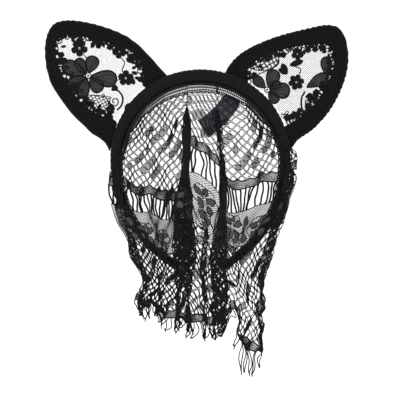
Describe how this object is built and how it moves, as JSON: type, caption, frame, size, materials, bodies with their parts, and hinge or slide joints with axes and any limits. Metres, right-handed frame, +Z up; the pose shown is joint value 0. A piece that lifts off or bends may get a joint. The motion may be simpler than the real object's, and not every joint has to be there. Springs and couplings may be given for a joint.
{
  "type": "animal ears headband",
  "caption": "Fabric-wrapped ring headband with wire-framed lace animal ears and a fringed lace face veil hanging from the crown.",
  "frame": {"origin": "middle of the crown's lining, where the band rests on top of the wearer's head", "axes": "+Z up, -Y towards the front, where the veil hangs, +X to the right as seen from the front"},
  "size_m": [0.2442, 0.0246, 0.2874],
  "materials": {
    "cover_fabric": "matt black ribbed wrapping with a faint violet cast",
    "binding_fabric": "matt black lace folded over fabric",
    "lace": "black polyester lace thread",
    "ribbon": "black grosgrain ribbon",
    "label_satin": "dull violet-grey satin, blank",
    "wadding": "black felt wadding",
    "spring_steel": "rolled spring steel",
    "wire_steel": "drawn steel wire"
  },
  "bodies": {
    "crown": {"band_core_crown": "spring_steel", "band_padding_crown": "wadding", "band_cover_crown": "cover_fabric", "band_lining_crown": "ribbon", "wire_leg_left_inner": "wire_steel", "wire_leg_left_outer": "wire_steel", "wire_leg_right_inner": "wire_steel", "wire_leg_right_outer": "wire_steel", "ear_foot_left_inner": "binding_fabric", "ear_foot_left_outer": "binding_fabric", "ear_foot_right_inner": "binding_fabric", "ear_foot_right_outer": "binding_fabric", "veil_header_tape": "ribbon", "veil_upper": "lace", "blank_label": "label_satin"},
    "limb_left": {"band_core_left": "spring_steel", "band_padding_left": "wadding", "band_cover_left": "cover_fabric", "band_lining_left": "ribbon", "tip_cap_left": "cover_fabric"},
    "limb_right": {"band_core_right": "spring_steel", "band_padding_right": "wadding", "band_cover_right": "cover_fabric", "band_lining_right": "ribbon", "tip_cap_right": "cover_fabric"},
    "ear_left": {"ear_wire_left": "wire_steel", "ear_binding_left": "binding_fabric", "ear_lace_left": "lace"},
    "ear_right": {"ear_wire_right": "wire_steel", "ear_binding_right": "binding_fabric", "ear_lace_right": "lace"},
    "veil": {"veil_lower": "lace"}
  },
  "joints": [
    {"name": "limb_left_spread", "type": "hinge", "parent": "crown", "child": "limb_left", "pos_m": [-0.0728, 0, -0.06165], "axis": [0, 1, 0], "range_deg": [0, 24], "stiffness_Nm_per_rad": 0.6},
    {"name": "limb_right_spread", "type": "hinge", "parent": "crown", "child": "limb_right", "pos_m": [0.0728, 0, -0.06165], "axis": [0, -1, 0], "range_deg": [0, 24], "stiffness_Nm_per_rad": 0.6},
    {"name": "ear_left_tilt", "type": "hinge", "parent": "crown", "child": "ear_left", "pos_m": [-0.05855, 0, -0.01591], "axis": [0.6157, 0, 0.788], "range_deg": [-25, 25]},
    {"name": "ear_right_tilt", "type": "hinge", "parent": "crown", "child": "ear_right", "pos_m": [0.05607, 0, -0.01291], "axis": [0.6561, 0, -0.7547], "range_deg": [-25, 25]},
    {"name": "veil_lift", "type": "hinge", "parent": "crown", "child": "veil", "pos_m": [0, -0.0092, -0.06265], "axis": [-1, 0, 0], "range_deg": [0, 90]}
  ]
}
